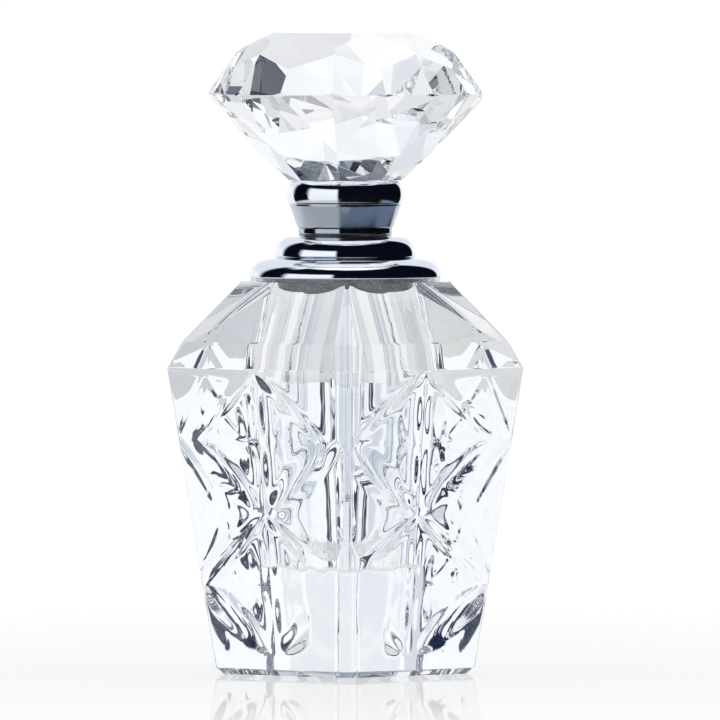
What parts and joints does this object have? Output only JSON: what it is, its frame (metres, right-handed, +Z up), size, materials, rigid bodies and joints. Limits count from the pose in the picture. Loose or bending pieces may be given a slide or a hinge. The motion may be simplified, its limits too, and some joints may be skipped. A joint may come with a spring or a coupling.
{
  "type": "dabber perfume bottle",
  "caption": "Square cut-crystal perfume bottle with a chrome collar and a push-in stopper that carries a gem-cut crystal knob and a glass dabber rod.",
  "frame": {"origin": "centre of the flat base, on the surface the bottle stands on", "axes": "+Z up along the stopper; one corner of the square body faces -Y, which is the front"},
  "size_m": [0.0556, 0.0556, 0.1],
  "materials": {
    "crystal": "clear cut and pressed lead-type crystal, polished",
    "knob_crystal": "clear gem-cut crystal, polished facets",
    "rod_glass": "clear drawn glass, fire-polished tip",
    "chrome": "bright chrome plating",
    "polished_band": "dark bright chrome",
    "satin_metal": "satin turned metal",
    "sleeve_metal": "satin plated metal",
    "steel": "plain turned steel",
    "plug_plastic": "moulded pale plastic",
    "clear_plastic": "translucent soft plastic",
    "seal_rubber": "matt nitrile rubber"
  },
  "bodies": {
    "bottle": {"crystal_bottle": "crystal", "collar_gasket": "clear_plastic", "collar_flange": "chrome", "collar_bead": "chrome", "neck_sleeve": "sleeve_metal"},
    "seal_rings": {"o_rings": "seal_rubber"},
    "stopper": {"plug_core": "plug_plastic", "stopper_washer": "clear_plastic", "foot_band": "polished_band", "taper_sleeve": "satin_metal", "knob_cup": "chrome", "through_stud": "steel", "crystal_knob": "knob_crystal", "rod_bush": "clear_plastic", "dabber_rod": "rod_glass"}
  },
  "joints": [
    {"name": "stopper_lift", "type": "slide", "parent": "bottle", "child": "seal_rings", "axis": [0, 0, 1], "range_m": [0, 0.047]},
    {"name": "stopper_turn", "type": "hinge", "parent": "seal_rings", "child": "stopper", "pos_m": [0, 0, 0.0682], "axis": [0, 0, 1], "continuous": true}
  ]
}
